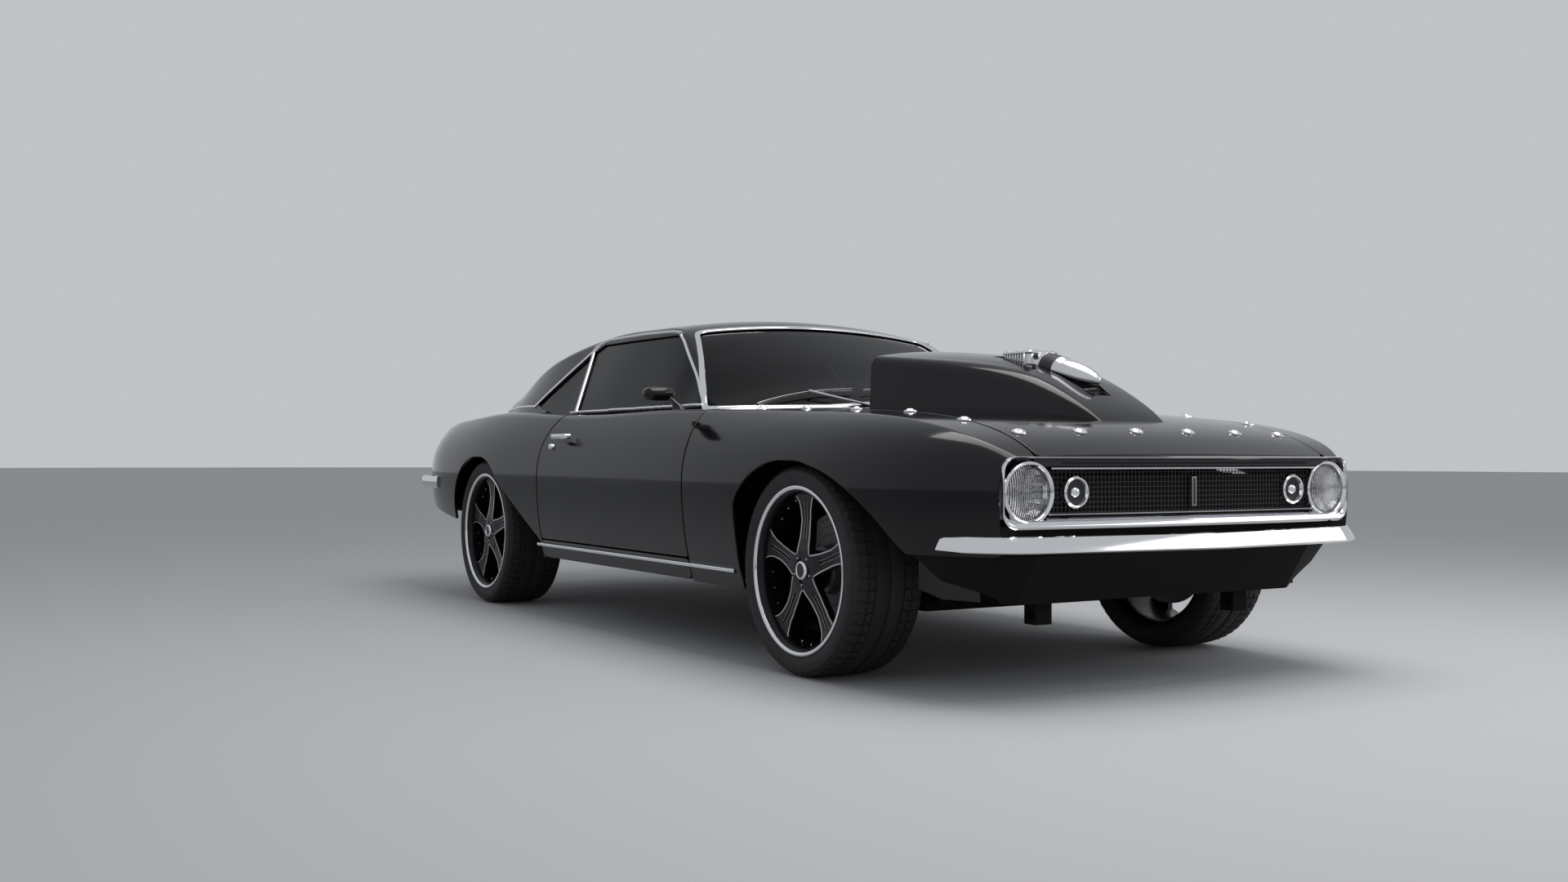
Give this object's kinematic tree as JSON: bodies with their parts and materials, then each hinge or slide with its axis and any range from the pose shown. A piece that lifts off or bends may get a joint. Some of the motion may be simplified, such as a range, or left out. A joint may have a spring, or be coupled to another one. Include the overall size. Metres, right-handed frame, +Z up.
{
  "type": "muscle car",
  "caption": "Two-door muscle car with a long hood, scoop and injector, short deck, opening doors and lid, steered front wheels and a hollow cabin.",
  "frame": {"origin": "centre of the car's footprint, on the road", "axes": "+X forward, +Y to the car's left, +Z up"},
  "size_m": [4.69, 1.97, 1.2599],
  "materials": {
    "paint": "gloss",
    "glass": "gloss",
    "chrome": "polished",
    "lamp": "gloss",
    "tail_lamp": "gloss",
    "tyre": "matte",
    "wheel": "gloss",
    "seat": "satin",
    "black_plastic": "satin",
    "chassis": "satin"
  },
  "bodies": {
    "body": {"cowl_panel": "paint", "dashboard": "black_plastic", "driveline": "chassis", "engine_block": "chassis", "exhaust": "chassis", "fender_left": "paint", "fender_right": "paint", "floor_pan": "chassis", "front_bumper": "chrome", "front_seats": "seat", "front_valance": "black_plastic", "fuel_tank": "chassis", "grille": "black_plastic", "grille_surround": "chrome", "headlamps": "lamp", "hinge_pillars": "chassis", "injector": "chrome", "inner_fenders": "chassis", "lid_hinges": "chassis", "nose_panel": "paint", "parking_lamps": "lamp", "quarter_glass": "glass", "quarter_left": "paint", "quarter_right": "paint", "radiator": "chassis", "rear_axle": "chassis", "rear_bumper": "chrome", "rear_seat": "seat", "rear_window": "glass", "rocker_mouldings": "chrome", "roof_shell": "paint", "sills": "paint", "subframe": "chassis", "tail_lamps": "tail_lamp", "tail_panel": "paint", "upper_deck": "paint", "windshield": "glass"},
    "deck_lid": {"deck_lid": "paint"},
    "door_left": {"door_glass_left": "glass", "door_left": "paint", "handle_left": "chrome", "mirror_left": "black_plastic"},
    "door_right": {"door_glass_right": "glass", "door_right": "paint", "handle_right": "chrome", "mirror_right": "black_plastic"},
    "hood": {"hood": "paint"},
    "knuckle_left": {"knuckle_left": "chassis"},
    "knuckle_right": {"knuckle_right": "chassis"},
    "steering_wheel": {"steering_wheel": "black_plastic"},
    "wheel_front_left": {"tyre_front_left": "tyre", "wheel_front_left": "wheel"},
    "wheel_front_right": {"tyre_front_right": "tyre", "wheel_front_right": "wheel"},
    "wheel_rear_left": {"tyre_rear_left": "tyre", "wheel_rear_left": "wheel"},
    "wheel_rear_right": {"tyre_rear_right": "tyre", "wheel_rear_right": "wheel"}
  },
  "joints": [
    {"name": "door_right_hinge", "type": "hinge", "parent": "body", "child": "door_right", "pos_m": [0.645, -0.885, 0.55], "axis": [0, 0, 1], "range_deg": [0, 65]},
    {"name": "door_left_hinge", "type": "hinge", "parent": "body", "child": "door_left", "pos_m": [0.645, 0.885, 0.55], "axis": [0, 0, -1], "range_deg": [0, 65]},
    {"name": "deck_lid_hinge", "type": "hinge", "parent": "body", "child": "deck_lid", "pos_m": [-1.69, 0, 0.866], "axis": [0, 1, 0], "range_deg": [0, 70]},
    {"name": "hood_lift", "type": "slide", "parent": "body", "child": "hood", "axis": [0, 0, 1], "range_m": [0, 0.65]},
    {"name": "steer_right", "type": "hinge", "parent": "body", "child": "knuckle_right", "pos_m": [1.415, -0.668, 0.332], "axis": [0, 0, 1], "range_deg": [-32, 32]},
    {"name": "steer_left", "type": "hinge", "parent": "body", "child": "knuckle_left", "pos_m": [1.415, 0.668, 0.332], "axis": [0, 0, 1], "range_deg": [-32, 32]},
    {"name": "steering_wheel_turn", "type": "hinge", "parent": "body", "child": "steering_wheel", "pos_m": [0.33, 0.39, 0.79], "axis": [-0.9, 0, 0.436], "range_deg": [-480, 480]},
    {"name": "wheel_front_right_spin", "type": "hinge", "parent": "knuckle_right", "child": "wheel_front_right", "pos_m": [1.415, -0.7525, 0.332], "axis": [0, 1, 0], "continuous": true},
    {"name": "wheel_front_left_spin", "type": "hinge", "parent": "knuckle_left", "child": "wheel_front_left", "pos_m": [1.415, 0.7525, 0.332], "axis": [0, 1, 0], "continuous": true},
    {"name": "wheel_rear_right_spin", "type": "hinge", "parent": "body", "child": "wheel_rear_right", "pos_m": [-1.328, -0.7525, 0.332], "axis": [0, 1, 0], "continuous": true},
    {"name": "wheel_rear_left_spin", "type": "hinge", "parent": "body", "child": "wheel_rear_left", "pos_m": [-1.328, 0.7525, 0.332], "axis": [0, 1, 0], "continuous": true}
  ],
  "couplings": [
    {"joint": "steer_left", "follows": "steer_right", "ratio": 1},
    {"joint": "steering_wheel_turn", "follows": "steer_right", "ratio": 15}
  ]
}
